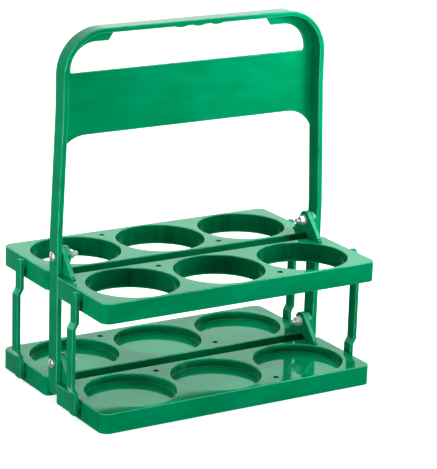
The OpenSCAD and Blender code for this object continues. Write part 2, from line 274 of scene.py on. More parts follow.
class Shell:
    """A mesh in the making: arrays of points, four-sided faces and triangles."""

    def __init__(self) -> None:
        """Starts with nothing."""
        self.points: list[Array] = []
        self.quads: list[Array] = []
        self.triangles: list[Array] = []
        self.count = 0

    def add(self, points: Array) -> Array:
        """Adds points.

        Args:
            points: An array whose last axis is X, Y, Z.

        Returns:
            Their numbers, in an array of the same shape without its last axis.
        """
        flat = points.reshape(-1, 3)
        numbers = self.count + np.arange(len(flat)).reshape(points.shape[:-1])
        self.points.append(flat)
        self.count += len(flat)
        return numbers

    def skin(self, numbers: Array) -> None:
        """Covers a grid of points whose rows are closed rings with four-sided faces."""
        low, high = numbers[:-1], numbers[1:]
        sides = [low, np.roll(low, -1, axis=1), np.roll(high, -1, axis=1), high]
        self.quads.append(np.stack(sides, axis=-1).reshape(-1, 4))

    def sweep(self, outline: Outline, profile: Array, plane: Plane) -> Array:
        """Carries a profile round an outline: each point is p + o n at height h.

        Args:
            outline: The line that the profile goes round.
            profile: Rows of offset o and height h.
            plane: Plane of the outline.

        Returns:
            Numbers of the points, a row for each row of the profile.
        """
        flat = outline.points + profile[:, None, :1] * outline.normals
        numbers = self.add(plane.place(flat[..., 0], flat[..., 1], profile[:, 1:]))
        self.skin(numbers)
        return numbers

    def cap(self, loops: Sequence[tuple[Array, Array]], facing: int) -> None:
        """Fills the level region between loops with triangles.

        Args:
            loops: Numbers and plane points of each loop, the outer one first.
            facing: 1 where the face looks up from the plane, -1 where it looks down.
        """
        numbers = np.concatenate([n for n, _ in loops])
        places = np.concatenate([p for _, p in loops])
        edges, start = [], 0
        for n, _ in loops:
            run = np.arange(len(n)) + start
            edges.append(np.stack([run, np.roll(run, -1)], axis=-1))
            start += len(n)
        found = delaunay_2d_cdt(
            [Vector(p) for p in places.tolist()], np.concatenate(edges).tolist(), [], 0, 1e-6
        )
        origin = np.array([o[0] for o in found[3]])
        triangles = origin[np.array(found[2])]
        middle = places[triangles].mean(axis=1)
        kept = inside(middle, loops[0][1])
        for _, hole in loops[1:]:
            kept &= ~inside(middle, hole)
        triangles = triangles[kept]
        a, b, c = (places[triangles[:, i]] for i in range(3))
        turn = (b[:, 0] - a[:, 0]) * (c[:, 1] - a[:, 1]) - (b[:, 1] - a[:, 1]) * (c[:, 0] - a[:, 0])
        triangles[turn * facing < 0] = triangles[turn * facing < 0][:, ::-1]
        self.triangles.append(numbers[triangles])

    def fan(self, ring: Array, centre: Array, last: bool) -> None:
        """Closes a ring with triangles to one point.

        Args:
            ring: Numbers of the ring's points.
            centre: The point.
            last: True at the end of a skin, False at its start.
        """
        tip = np.full(len(ring), self.add(centre[None])[0])
        following = np.roll(ring, -1)
        order = [ring, following, tip] if last else [following, ring, tip]
        self.triangles.append(np.stack(order, axis=-1))

    def slab(self, outline: Outline, low: float, high: float, edge: float, plane: Plane) -> None:
        """Adds a flat plate with rounded edges, whose normals point out of it.

        Args:
            outline: Outline of the plate.
            low: Lower height.
            high: Upper height.
            edge: Radius of the edges.
            plane: Plane of the outline.
        """
        profile = wall(low, high, edge, edge, hold=0.2)
        numbers = self.sweep(outline, profile, plane)
        self.cap([(numbers[0], outline.at(profile[0, 0]))], -1)
        self.cap([(numbers[-1], outline.at(profile[-1, 0]))], 1)

    def turned(
        self,
        profile: Array,
        y: float = 0.0,
        z: float = 0.0,
        count: int = 64,
        radius: Callable[[Array, Array, Array], Array] | None = None,
    ) -> None:
        """Adds a body turned round an axis along X: (x, y + r cos t, z + r sin t).

        Args:
            profile: Rows of x and radius r, from low to high x on the outside. A profile that
                ends on the axis has r = 0 there, and any other one is closed on itself.
            y: Place of the axis.
            z: Height of the axis.
            count: Number of points round the axis.
            radius: Changes the radius by x, r and the angle t, as for a hexagon or a thread.
        """
        turn = -np.arange(count) * (2 * np.pi / count)
        solid = profile[0, 1] == 0
        rows = profile[1:-1] if solid else np.concatenate([profile, profile[:1]])
        x, r = rows[:, :1], rows[:, 1:]
        size = np.broadcast_to(r, (len(rows), count)) if radius is None else radius(x, r, turn)
        grid = np.stack(
            np.broadcast_arrays(x, y + size * np.cos(turn), z + size * np.sin(turn)), axis=-1
        )
        if solid:
            numbers = self.add(grid)
            self.fan(numbers[0], np.array([profile[0, 0], y, z]), last=False)
            self.fan(numbers[-1], np.array([profile[-1, 0], y, z]), last=True)
        else:
            numbers = self.add(grid[:-1])
            numbers = np.concatenate([numbers, numbers[:1]])
        self.skin(numbers)

    @classmethod
    def lathe(cls, profile: Array, *place: float, **options: Any) -> "Shell":
        """Makes a turned body of its own, with its faces outwards."""
        shell = cls()
        shell.turned(np.array(profile, float), *place, **options)
        return shell.outward()

    def strap(self, outer: Array, inner: Array, depth: Array, thick: Array, y: float = 0.0) -> None:
        """Adds a bar with a rounded rectangular section between two lines in the XZ plane.

        At each station the section is centred between the outer and the inner point. With the
        half thickness h, the half depth b and the fillet f, its corner points are
        y = +-(b - f + f cos t) and w = +-(h - f + f sin t), w being measured to the outer line.

        Args:
            outer: Points of the outer line in X and Z.
            inner: Points of the inner line.
            depth: Half the depth along Y at each station.
            thick: Rows of the share of the thickness and of the fillet radius at each station.
            y: Place of the middle along Y.
        """
        middle, reach = (outer + inner) / 2, (outer - inner) / 2
        half = np.linalg.norm(reach, axis=1) * thick[:, 0]
        across = reach / np.linalg.norm(reach, axis=1)[:, None]
        fillet = np.minimum(np.minimum(thick[:, 1], depth * 0.95), half * 0.95)
        turn = np.radians(np.linspace(0, 90, 7))
        hold = np.minimum(0.25, (depth - fillet) * 0.5)
        rows = []
        for sy, sw in ((1, 1), (-1, 1), (-1, -1), (1, -1)):
            cy = (depth - fillet)[:, None] + fillet[:, None] * np.cos(turn)
            cw = (half - fillet)[:, None] + fillet[:, None] * np.sin(turn)
            flat = np.stack([depth - fillet - hold, half], axis=-1)[:, None]
            side = np.stack([depth, np.maximum(half - fillet - 0.25, 0)], axis=-1)[:, None]
            corner = np.concatenate([side, np.stack([cy, cw], axis=-1), flat], axis=1)
            if sy * sw < 0:
                corner = corner[:, ::-1]
            rows.append(corner * np.array([sy, sw]))
        ring = np.concatenate(rows, axis=1)
        grid = np.stack(
            [
                middle[:, None, 0] + ring[..., 1] * across[:, None, 0],
                y + ring[..., 0],
                middle[:, None, 1] + ring[..., 1] * across[:, None, 1],
            ],
            axis=-1,
        )
        numbers = self.add(grid)
        self.skin(numbers)
        self.fan(numbers[0], grid[0].mean(axis=0), last=False)
        self.fan(numbers[-1], grid[-1].mean(axis=0), last=True)

    def merge(self, other: "Shell") -> None:
        """Adds all of another shell's points and faces."""
        self.quads += [q + self.count for q in other.quads]
        self.triangles += [t + self.count for t in other.triangles]
        self.points += other.points
        self.count += other.count

    def outward(self) -> "Shell":
        """Turns every face round if the volume, the sum of a . (b x c) / 6, is below 0.

        Returns:
            This shell.
        """
        points = np.concatenate(self.points)
        triangles = [q[:, [0, 1, 2]] for q in self.quads] + [q[:, [0, 2, 3]] for q in self.quads]
        corners = points[np.concatenate(triangles + self.triangles)]
        volume = np.einsum("ij,ij->", corners[:, 0], np.cross(corners[:, 1], corners[:, 2]))
        if volume < 0:
            self.quads = [q[:, ::-1] for q in self.quads]
            self.triangles = [t[:, ::-1] for t in self.triangles]
        return self

    def placed(self, half: Half, side: Side, lift: float = 0.0) -> "Shell":
        """Copies the shell to a half and an end of the carrier.

        Args:
            half: The back half is reached by a half turn round Z.
            side: The left end is reached by a mirror in X, before any half turn.
            lift: Height to raise it by.

        Returns:
            The copy, with its faces outwards.
        """
        flip = np.array([side.value * half.value, half.value, 1.0])
        copy = Shell()
        copy.points = [p * flip + np.array([0, 0, lift]) for p in self.points]
        mirrored = side is Side.LEFT
        copy.quads = [q[:, ::-1] if mirrored else q for q in self.quads]
        copy.triangles = [t[:, ::-1] if mirrored else t for t in self.triangles]
        copy.count = self.count
        return copy

    def build(self, name: str, finish: bpy.types.Material) -> bpy.types.Object:
        """Makes the Blender object, at the origin and in metres.

        Args:
            name: Name of the piece.
            finish: Its material.

        Returns:
            The object.
        """
        mesh = bpy.data.meshes.new(name)
        faces = [f.tolist() for f in self.quads + self.triangles]
        points = np.concatenate(self.points) * MM
        mesh.from_pydata(points.tolist(), [], sum(faces, []))
        mesh.shade_smooth()
        mesh.set_sharp_from_angle(angle=SHARP_ANGLE)
        mesh.materials.append(finish)
        piece = bpy.data.objects.new(name, mesh)
        bpy.context.scene.collection.objects.link(piece)
        return piece


def fit(piece: bpy.types.Object, node: str, body: str) -> None:
    """Lets a piece stand for a CAD node and move with its body.

    Args:
        piece: The finished piece.
        node: The node that it replaces.
        body: The body that it rides on.
    """
    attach(piece, body)
    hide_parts(node)
    low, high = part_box(node)
    places = np.empty(len(piece.data.vertices) * 3)
    piece.data.vertices.foreach_get("co", places)
    places = places.reshape(-1, 3)
    off = np.abs(np.stack([places.min(0) - np.array(low), places.max(0) - np.array(high)])).max()
    log.info("%s: %d faces, box off by %.2f mm", piece.name, len(piece.data.polygons), off / MM)


class Signal:
    """The output of a shader node, which can be reckoned with like a number."""

    def __init__(self, graph: "Graph", socket: bpy.types.NodeSocket) -> None:
        """Wraps a socket of a graph."""
        self.graph = graph
        self.socket = socket

    def _maths(self, operation: str, *terms: "Signal | float") -> "Signal":
        """Adds a Math node for an operation on these terms."""
        values = dict(enumerate(terms))
        return self.graph.node("ShaderNodeMath", {"operation": operation}, values)

    def __add__(self, other: "Signal | float") -> "Signal":
        """self + other"""
        return self._maths("ADD", self, other)

    def __sub__(self, other: "Signal | float") -> "Signal":
        """self - other"""
        return self._maths("SUBTRACT", self, other)

    def __rsub__(self, other: float) -> "Signal":
        """other - self"""
        return self._maths("SUBTRACT", other, self)

    def __mul__(self, other: "Signal | float") -> "Signal":
        """self * other"""
        return self._maths("MULTIPLY", self, other)

    def __pow__(self, other: "Signal | float") -> "Signal":
        """self ** other"""
        return self._maths("POWER", self, other)

    def __abs__(self) -> "Signal":
        """The value without its sign."""
        return self._maths("ABSOLUTE", self)

    __radd__ = __add__
    __rmul__ = __mul__

    def least(self, other: "Signal | float") -> "Signal":
        """The smaller of two values."""
        return self._maths("MINIMUM", self, other)

    def ramp(self, low: float, high: float) -> "Signal":
        """Rises smoothly from 0 at low to 1 at high."""
        values = {0: self, 1: low, 2: high, 3: 0.0, 4: 1.0}
        return self.graph.node("ShaderNodeMapRange", {"interpolation_type": "SMOOTHSTEP"}, values)


class Graph:
    """The node tree of one material or of the world."""

    def __init__(self, owner: bpy.types.Material | bpy.types.World) -> None:
        """Empties the tree of its owner."""
        self.owner = owner
        owner.use_nodes = True
        self.tree = owner.node_tree
        self.tree.nodes.clear()

    def node(
        self, kind: str, settings: Mapping[str, Any], values: Mapping[int | str, Any], output: int | str = 0
    ) -> Signal | None:
        """Adds a node.

        Args:
            kind: Blender's type name.
            settings: Properties, which are set first.
            values: Numbers, colours or signals for its sockets, by number or name.
            output: The output that is wanted.

        Returns:
            That output, or None for a node that ends the tree.
        """
        made = self.tree.nodes.new(kind)
        for name, value in settings.items():
            setattr(made, name, value)
        for socket, value in values.items():
            if isinstance(value, Signal):
                self.tree.links.new(value.socket, made.inputs[socket])
            else:
                made.inputs[socket].default_value = value
        return Signal(self, made.outputs[output]) if len(made.outputs) else None

    def place(self, scale: tuple[float, float, float] = (1, 1, 1), turn: float = 0.0) -> Signal:
        """Gives the piece's own coordinates, stretched and turned about Y.

        Args:
            scale: Factors for the three coordinates.
            turn: Angle about Y in radians.

        Returns:
            The coordinates.
        """
        own = self.node("ShaderNodeTexCoord", {}, {}, "Object")
        values = {"Vector": own, "Rotation": (0, turn, 0), "Scale": scale}
        return self.node("ShaderNodeMapping", {}, values)

    def noise(self, where: Signal, scale: float, detail: float = 2.0, rough: float = 0.5) -> Signal:
        """Gives a cloudy value from 0 to 1.

        Args:
            where: Coordinates.
            scale: Number of clouds in a metre.
            detail: Number of finer layers.
            rough: Weight of the finer layers.

        Returns:
            The value.
        """
        values = {"Vector": where, "Scale": scale, "Detail": detail, "Roughness": rough}
        return self.node("ShaderNodeTexNoise", {}, values)

    def blend(self, share: Signal, a: Signal | Sequence[float], b: Sequence[float]) -> Signal:
        """Mixes two colours.

        Args:
            share: Share of the second colour.
            a: First colour, a signal or a fixed one.
            b: Second colour.

        Returns:
            The mixed colour.
        """
        values = {0: share, 6: a if isinstance(a, Signal) else (*a, 1.0), 7: (*b, 1.0)}
        return self.node("ShaderNodeMix", {"data_type": "RGBA"}, values, 2)

    def bump(self, height: Signal, strength: float, distance: float) -> Signal:
        """Turns a height into a normal.

        Args:
            height: Height from 0 to 1.
            strength: Share of the effect.
            distance: Height of 1, in metres.

        Returns:
            The normal.
        """
        values = {"Strength": strength, "Distance": distance, "Height": height}
        return self.node("ShaderNodeBump", {}, values)

    def surface(self, values: Mapping[str, Any]) -> bpy.types.Material:
        """Ends the material in a principled surface.

        Args:
            values: Numbers, colours or signals for its sockets.

        Returns:
            The material.
        """
        shader = self.node("ShaderNodeBsdfPrincipled", {}, values)
        self.node("ShaderNodeOutputMaterial", {}, {"Surface": shader})
        return self.owner


@dataclass(frozen=True)
class GlossyPlastic:
    """Green plastic from a polished mould, with flow marks, fine scuffs, a painted highlight on its rounded
    edges and, where drawn is set, painted shade in draw marks on the walls of the bottle places.

    The field across names the axis that lies across the piece's broad faces.
    """

    name: str = "glossy_green_plastic"
    deep: tuple[float, float, float] = (0.0, 0.32, 0.148)
    light: tuple[float, float, float] = (0.0, 0.38, 0.185)
    sheen: tuple[float, float, float] = (0.06, 0.45, 0.28)
    gloss: float = 0.05
    cloud: float = 0.04
    scuffed: float = 0.2
    shade_share: float = 0.42
    mark_rough: float = 0.08
    highlight_share: float = 0.7
    # Painted shade: the colour that darkens the streaks on the walls of the bottle places.
    shade: tuple[float, float, float] = (0.0, 0.13, 0.045)
    # Painted highlight: the pale colour put on the rounded edges.
    painted_highlight: tuple[float, float, float] = (0.16, 0.62, 0.42)
    # True for a plastic that paints shade in streaks on the walls of the bottle places.
    drawn: bool = False
    across: str = "Z"
    pitch: float = 0.0963
    mid: float = 0.0575
    hole_r: float = 0.045
    peel: float = 0.00002
    sink: float = 0.0004

    def from_wall(self, g: Graph) -> Signal:
        """Gives how far a point lies outside the wall of the nearest bottle place.

        It is sqrt(u^2 + v^2) - hole_r, with u the smaller of |x| and ||x| - pitch|, and
        v = |y| - mid.

        Args:
            g: The material's graph.

        Returns:
            The distance in metres, below 0 inside the bottle place.
        """
        own = g.place()
        x, y = (abs(g.node("ShaderNodeSeparateXYZ", {}, {0: own}, axis)) for axis in "XY")
        u, v = x.least(abs(x - self.pitch)), y - self.mid
        return (u * u + v * v) ** 0.5 - self.hole_r

    def shaded_draw_marks(self, g: Graph) -> Signal:
        """Lays long upright streaks on the walls of the bottle places, up to 2 mm from them: draw marks
        that are rougher and darkened with painted shade.

        Args:
            g: The material's graph.

        Returns:
            The streaks' strength from 0 to 1.
        """
        off = abs(self.from_wall(g))
        streaks = g.noise(g.place((170, 170, 5)), 1, 3, 0.7)
        patches = g.noise(g.place(), 22, 1).ramp(0.4, 0.62)
        return (1.0 - off.ramp(0.0016, 0.0024)) * streaks.ramp(0.4, 0.7) * patches

    def edge_highlight(self, g: Graph) -> Signal:
        """Finds the rounded edges, which get a painted highlight in patches.

        There the surface leans between the two faces that meet: 0.15 < |n| < 0.97, with n the part
        of its normal that lies along the axis across the face. On the trays the edges inside the bottle
        places get none.

        Args:
            g: The material's graph.

        Returns:
            The painted highlight's strength from 0 to 1.
        """
        normal = g.node("ShaderNodeTexCoord", {}, {}, "Normal")
        lean = abs(g.node("ShaderNodeSeparateXYZ", {}, {0: normal}, self.across))
        patchiness = g.noise(g.place(), 60, 3, 0.6).ramp(0.3, 0.62)
        painted_highlight = lean.ramp(0.15, 0.4) * (1.0 - lean.ramp(0.9, 0.97)) * (0.35 + 0.65 * patchiness)
        return painted_highlight * self.from_wall(g).ramp(-0.0007, -0.0001) if self.across == "Z" else painted_highlight

    def material(self) -> bpy.types.Material:
        """Makes the material.

        The colour drifts with the flow of the melt, takes painted shade in the draw marks on the walls of
        the bottle places and a paler painted highlight on the rounded edges. The roughness is gloss + cloud
        (flow + speck) + scuffed * scuffs, with scuffs as long thin streaks, and the height is the mould's
        fine peel on a slow waviness from shrinkage.

        Returns:
            The material.
        """
        g = Graph(bpy.data.materials.new(self.name))
        flow = g.noise(g.place((1, 1, 2.2)), 16, 3, 0.55)
        speck = g.noise(g.place(), 420, 2, 0.6).ramp(0.62, 0.78)
        streak_a = g.noise(g.place((60, 900, 500), 0.5), 1, 2, 0.5).ramp(0.68, 0.8)
        streak_b = g.noise(g.place((700, 80, 900), -0.4), 1, 2, 0.5).ramp(0.7, 0.82)
        scuffs = (streak_a + streak_b) * g.noise(g.place(), 30, 2).ramp(0.45, 0.7)
        colour = g.blend(flow.ramp(0.3, 0.7), self.deep, self.light)
        peel = g.bump(g.noise(g.place(), 900, 1), 0.35, self.peel)
        slow = g.noise(g.place(), 26, 1, 0.4)
        relief = {"Strength": 0.3, "Distance": self.sink, "Height": slow, "Normal": peel}
        waves = g.node("ShaderNodeBump", {}, relief)
        rough = self.gloss + self.cloud * flow + self.cloud * speck + self.scuffed * scuffs
        skin = {"IOR": 1.5, "Specular IOR Level": 0.5, "Specular Tint": (*self.sheen, 1.0)}
        if self.drawn:
            marks = self.shaded_draw_marks(g)
            # Painted shade in streaks on the walls of the bottle places, which are also rougher there.
            colour = g.blend(self.shade_share * marks, colour, self.shade)
            rough = rough + self.mark_rough * marks
        # Painted highlight on the rounded edges, in patches.
        colour = g.blend(self.highlight_share * self.edge_highlight(g), colour, self.painted_highlight)
        return g.surface({"Base Color": colour, "Roughness": rough, "Normal": waves, **skin})


@dataclass(frozen=True)
class BrightZinc:
    """Zinc plating on steel: bright, with a faint grain and dull spots."""

    name: str = "bright_zinc"
    bright: tuple[float, float, float] = (0.9, 0.9, 0.9)
    dull: tuple[float, float, float] = (0.72, 0.73, 0.74)

    def material(self) -> bpy.types.Material:
        """Makes the material.

        Returns:
            A metal whose colour and roughness follow 2 mm spots, with fine turning lines.
        """
        g = Graph(bpy.data.materials.new(self.name))
        spots = g.noise(g.place(), 700, 3, 0.6).ramp(0.4, 0.75)
        lines = g.noise(g.place((9000, 300, 300)), 1, 1)
        colour = g.blend(spots, self.bright, self.dull)
        normal = g.bump(lines, 0.25, 0.00003)
        rough = 0.2 + 0.2 * spots
        return g.surface({"Base Color": colour, "Roughness": rough, "Metallic": 0.6, "Normal": normal})


@dataclass(frozen=True)
class PaleFloor:
    """A pale matt studio floor."""

    name: str = "pale_floor"

    def material(self) -> bpy.types.Material:
        """Makes a matt white with a faint mottle."""
        g = Graph(bpy.data.materials.new(self.name))
        mottle = g.noise(g.place(), 3, 3)
        colour = g.blend(mottle, (0.86, 0.86, 0.86), (0.9, 0.9, 0.9))
        glow = {"Emission Color": (1, 1, 1, 1), "Emission Strength": 0.6}
        return g.surface({"Base Color": colour, "Roughness": 0.75, "Specular IOR Level": 0.2, **glow})


@dataclass(frozen=True)
class Layout:
    """The places that the sub-assemblies share."""

    tray_end: float = 153.0
    edge_y: float = 9.0
    tray_width: float = 97.0
    tray_height: float = 20.0
    upper_z: float = 108.5
    pivot_rise: float = 17.0
    pin_rise: float = 13.5
    leg_outer: float = 151.3
    leg_thickness: float = 5.5
    side_gap: float = 0.3

    @property
    def mid_y(self) -> float:
        """Long centre line of the front trays."""
        return -(self.edge_y + self.tray_width / 2)

    @property
    def pivot_z(self) -> float:
        """Height of the lower pivots."""
        return self.tray_height + self.pivot_rise

    @property
    def frame_half(self) -> float:
        """Half the depth of the handle."""
        return self.edge_y - self.side_gap


@dataclass
class Tray:
    """A tray with three bottle places, its ears and the bosses for the posts' pins."""

    layout: Layout
    cups: bool
    outer_r: float = 9.0
    inner_r: float = 5.0
    skirt: float = 2.4
    plate: float = 2.4
    hole_r: float = 45.0
    sleeve: float = 2.2
    pitch: float = 96.3
    floor_low: float = 9.3
    floor_high: float = 11.5
    drain_r: float = 2.75
    drain_offset: float = 34.5
    top_edge: float = 1.1
    hole_edge: float = 1.0
    rim_edge: float = 0.45
    wedge_r: float = 1.1
    ceiling_r: float = 0.5
    ear_thickness: float = 4.5
    ear_r: float = 9.0
    ear_reach: float = 19.0
    ear_step: float = 1.4
    ear_notch: float = 3.0
    ear_edge: float = 0.45
    boss_x: float = 148.0
    boss_wall: float = 2.0
    slack_bore_r: float = 3.25
    close_bore_r: float = 3.08

    def rim(self) -> Outline:
        """The outer outline, with its corner arcs counter-clockwise."""
        x, a, b = self.layout.tray_end, self.outer_r, self.inner_r
        out, near = -(self.layout.edge_y + self.layout.tray_width), -self.layout.edge_y
        return Outline.along(
            [
                Arc(-x + a, out + a, a, 180, 270),
                Arc(x - a, out + a, a, 270, 360),
                Arc(x - b, near - b, b, 0, 90),
                Arc(-x + b, near - b, b, 90, 180),
            ],
            step=6,
        )

    def wedge(self, centre: float, toward: int, upper: int) -> tuple[float, float, float]:
        """Finds the fillet between a sleeve and a skirt wall.

        The fillet's centre lies R + r from the sleeve's axis and r from the wall, so it is
        sqrt((R + r)^2 - (c - r)^2) along the tray from the axis.

        Args:
            centre: X of the sleeve's axis.
            toward: 1 for the fillet on the sleeve's right, -1 on its left.
            upper: 1 for the wall beside the handle, -1 for the outer wall.

        Returns:
            The fillet's centre, and the angle in degrees at which it touches the sleeve,
            seen from the sleeve's axis.
        """
        wall_y = self.layout.tray_width / 2 - self.skirt
        reach, rise = self.hole_r + self.sleeve + self.wedge_r, wall_y - self.wedge_r
        along = math.sqrt(reach * reach - rise * rise)
        angle = math.degrees(math.atan2(upper * rise, toward * along))
        return centre + toward * along, self.layout.mid_y + upper * rise, angle

    def middle_pocket(self, left: float) -> Outline:
        """Draws the space between two sleeves, counter-clockwise.

        Args:
            left: X of the left sleeve's axis.

        Returns:
            The outline: four wedge fillets joined by the walls and the sleeves' arcs.
        """
        right, r, reach = left + self.pitch, self.wedge_r, self.hole_r + self.sleeve
        mid = self.layout.mid_y
        lx, ly, la = self.wedge(left, 1, -1)
        rx, ry, ra = self.wedge(right, -1, -1)
        ux, uy, ua = self.wedge(right, -1, 1)
        vx, vy, va = self.wedge(left, 1, 1)
        ra, ua = ra % 360, ua % 360
        return Outline.along(
            [
                Arc(lx, ly, r, la + 180, 270),
                Arc(rx, ry, r, -90, ra - 180),
                Arc(right, mid, reach, ra, ua),
                Arc(ux, uy, r, ua - 180, 90),
                Arc(vx, vy, r, 90, va + 180),
                Arc(left, mid, reach, va, la),
            ],
            step=4,
        )

    def end_pocket(self) -> Outline:
        """Draws the space between the right sleeve and the end wall, counter-clockwise."""
        x = self.layout.tray_end - self.skirt
        a, b = self.outer_r - self.skirt, self.inner_r - self.skirt
        centre, r, reach = self.pitch, self.wedge_r, self.hole_r + self.sleeve
        low = -(self.layout.edge_y + self.layout.tray_width) + self.skirt
        high = -self.layout.edge_y - self.skirt
        lx, ly, la = self.wedge(centre, 1, -1)
        ux, uy, ua = self.wedge(centre, 1, 1)
        return Outline.along(
            [
                Arc(lx, ly, r, la + 180, 270),
                Arc(x - a, low + a, a, 270, 360),
                Arc(x - b, high - b, b, 0, 90),
                Arc(ux, uy, r, 90, ua + 180),
                Arc(centre, self.layout.mid_y, reach, ua, la),
            ],
            step=4,
        )

    def body(self) -> Shell:
        """Builds the tray's plate, skirt, sleeves and floors as one closed surface.

        Returns:
            The shell of a front tray that stands on z = 0.
        """
        shell, plane, mid = Shell(), Plane.XY, self.layout.mid_y
        top, ceiling = self.layout.tray_height, self.layout.tray_height - self.plate
        rim = self.rim()
        outer = wall(0, top, self.rim_edge, self.top_edge)
        numbers = shell.sweep(rim, outer, plane)
        above = [(numbers[-1], rim.at(outer[-1, 0]))]
        below = [(numbers[0], rim.at(outer[0, 0]))]
        for x in (-self.pitch, 0.0, self.pitch):
            hole = Outline.circle(x, mid, self.hole_r, 120).hole()
            if self.cups:
                self.cup(shell, hole, np.array([x, mid]), above, below)
                continue
            profile = wall(0, top, self.rim_edge, self.hole_edge)
            numbers = shell.sweep(hole, profile, plane)
            above.append((numbers[-1], hole.at(profile[-1, 0])))
            below.append((numbers[0], hole.at(profile[0, 0])))
        right = self.end_pocket()
        left = Outline(right.points[::-1] * [-1, 1], right.normals[::-1] * [-1, 1])
        pockets = [left, self.middle_pocket(-self.pitch), self.middle_pocket(0.0), right]
        drains = {
            i: Outline.circle(s * self.pitch / 2, mid - s * self.drain_offset, self.drain_r, 32)
            for i, s in ((1, -1), (2, 1))
        }
        for i, pocket in enumerate(p.hole() for p in pockets):
            profile = wall(0, ceiling, self.rim_edge, -self.ceiling_r, hold=0.15)
            numbers = shell.sweep(pocket, profile, plane)
            below.append((numbers[0], pocket.at(profile[0, 0])))
            roof = [(numbers[-1], pocket.at(profile[-1, 0]))]
            if i in drains:
                drain = drains[i].hole()
                bore = wall(ceiling, top, 0.2, 0.45, hold=0.12)
                numbers = shell.sweep(drain, bore, plane)
                roof.append((numbers[0], drain.at(bore[0, 0])))
                above.append((numbers[-1], drain.at(bore[-1, 0])))
            shell.cap(roof, -1)
        shell.cap(above, 1)
        shell.cap(below, -1)
        return shell.outward()

    def cup(self, shell: Shell, hole: Outline, axis: Array, above: list, below: list) -> None:
        """Adds a bottle place with a floor.

        Args:
            shell: The tray's shell.
            hole: The hole's edge.
            axis: The hole's axis in the plane.
            above: Loops of the top face, which the hole's upper edge joins.
            below: Loops of the underside, which the hole's lower edge joins.
        """
        profile = wall(self.floor_high, self.layout.tray_height, -0.8, self.hole_edge, hold=0.3)
        numbers = shell.sweep(hole, profile, Plane.XY)
        above.append((numbers[-1], hole.at(profile[-1, 0])))
        shell.fan(numbers[0], np.array([*axis, self.floor_high]), last=False)
        foot = wall(0, self.floor_low, self.rim_edge, -self.ceiling_r, hold=0.25)
        numbers = shell.sweep(hole, foot, Plane.XY)
        below.append((numbers[0], hole.at(foot[0, 0])))
        shell.fan(numbers[-1], np.array([*axis, self.floor_low]), last=True)

    def ear(self, outer_face: float, side: int) -> Shell:
        """Builds one ear on its pivot at y = 0.

        The foot runs along the tray's top, and the two tangents from its ends touch the round
        head: from a point p at the distance d the tangent turns by asin(R / d) from the
        direction to the centre, and is sqrt(d^2 - R^2) long.

        Args:
            outer_face: Distance of the ear's outer face from the middle.
            side: -1 for the left end, 1 for the right end.

        Returns:
            The shell of a front tray's ear.
        """
        lay, r = self.layout, self.ear_r
        toe = np.array([-(lay.edge_y + self.ear_reach), -lay.pivot_rise])
        heel = np.array([-lay.edge_y - 0.5, -lay.pivot_rise])

        def touch(p: Array, way: int) -> Array:
            """The point where the tangent from p touches the head."""
            d = float(np.linalg.norm(p))
            turn = math.atan2(-p[1], -p[0]) + way * math.asin(r / d)
            return p + math.sqrt(d * d - r * r) * np.array([math.cos(turn), math.sin(turn)])

        upper, lower = touch(toe, 1), touch(heel, -1)
        slope = (upper[1] - toe[1]) / (upper[0] - toe[0])
        notch = toe[0] + self.ear_notch / slope
        z = lay.pivot_z
        start, end = (math.degrees(math.atan2(p[1], p[0])) for p in (lower, upper))
        outline = Outline.along(
            [
                Corner(toe[0], z + toe[1] - 1, 0.75),
                Corner(heel[0] - 0.6, z + heel[1] - 1, 0.75),
                Corner(heel[0], z + heel[1], 0.75),
                Arc(0, z, r, start, end),
                Corner(notch, z + toe[1] + self.ear_notch, 0.7),
                Corner(notch, z + toe[1] + self.ear_step, 0.45),
                Corner(toe[0], z + toe[1] + self.ear_step, 0.7),
            ],
            step=5,
        )
        x0, x1 = sorted((side * outer_face, side * (outer_face - self.ear_thickness)))
        shell = Shell()
        shell.slab(outline, x0, x1, self.ear_edge, Plane.YZ)
        return shell.outward()

    def boss(self, bore_r: float) -> Shell:
        """Builds the ring behind the right end wall that a post's pin turns in.

        Args:
            bore_r: Radius of the bore.

        Returns:
            The shell.
        """
        x0, x1, r = self.boss_x, self.layout.tray_end - 0.6, bore_r + self.boss_wall
        ring = [[x0, bore_r + 0.3], [x0, r - 0.4], [x0 + 0.12, r - 0.12], [x0 + 0.4, r]]
        ring += [[x1, r], [x1, bore_r], [x0 + 0.3, bore_r]]
        return Shell.lathe(ring, self.layout.mid_y, self.layout.pin_rise, 48)

    def build(self, half: Half, finish: bpy.types.Material) -> None:
        """Builds the tray of one half and fits it to its node.

        Args:
            half: Front or back.
            finish: The plastic.
        """
        lay = self.layout
        level = "lower" if self.cups else "upper"
        inner = lay.leg_outer - lay.leg_thickness - lay.side_gap
        shell = self.body()
        shell.merge(self.ear(inner, -1))
        shell.merge(self.ear(inner - self.ear_thickness - lay.side_gap, 1))
        bore_r, lift = (self.slack_bore_r, 0.0) if self.cups else (self.close_bore_r, lay.upper_z)
        for side in Side:
            shell.merge(self.boss(bore_r).placed(Half.FRONT, side))
        name = f"{half.label}_{level}_tray"
        piece = shell.placed(half, Side.RIGHT, lift).build(name + "_moulding", finish)
        fit(piece, name, name)


